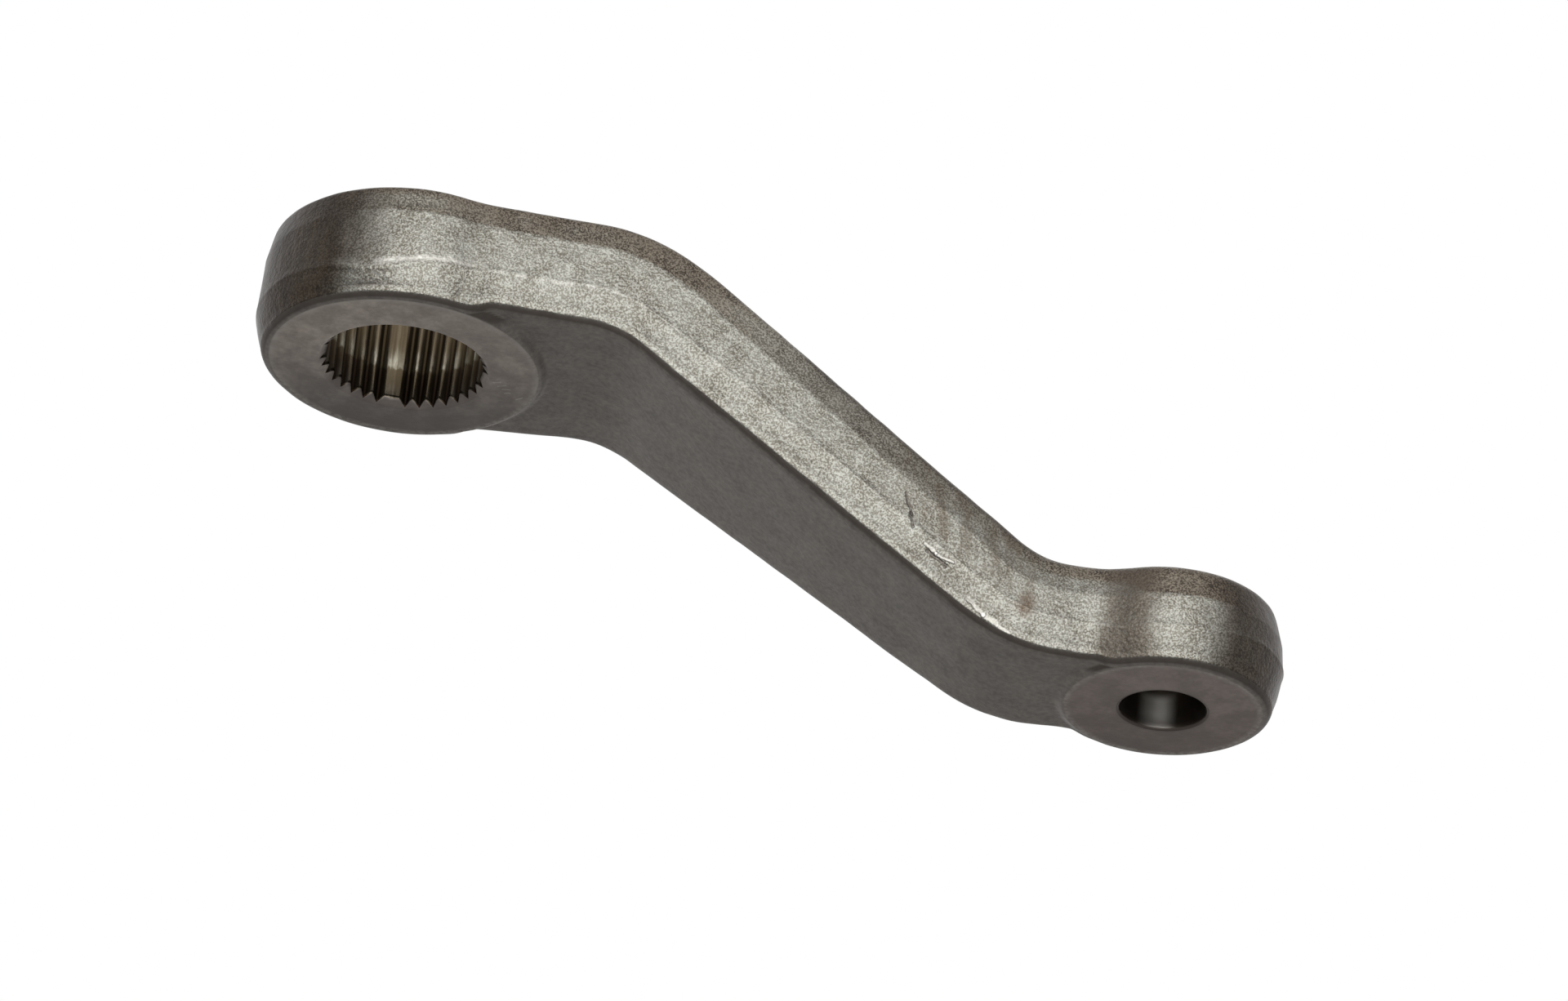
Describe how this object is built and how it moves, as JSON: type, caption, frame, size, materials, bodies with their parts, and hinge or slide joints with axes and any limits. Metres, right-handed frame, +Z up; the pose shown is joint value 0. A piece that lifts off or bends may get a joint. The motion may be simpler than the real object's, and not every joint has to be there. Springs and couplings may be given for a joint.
{
  "type": "pitman arm",
  "caption": "Cranked forged steel steering arm with a serrated bore for the steering shaft at one end and a tapered ball stud hole at the other.",
  "frame": {"origin": "on the axis of the serrated bore, in the plane of the shaft boss's lower machined face, where the nut washer seats", "axes": "+Z up along the steering shaft that enters the bore, +X along the arm to the ball stud hole, +Y across the arm"},
  "size_m": [0.2042, 0.0592, 0.0771],
  "materials": {
    "forged_steel": "shot-blasted forged steel, satin and sparkling on the flanks, smoother and darker on the underside, with machined boss faces"
  },
  "bodies": {
    "root": {"pitman_arm": "forged_steel"}
  },
  "joints": []
}
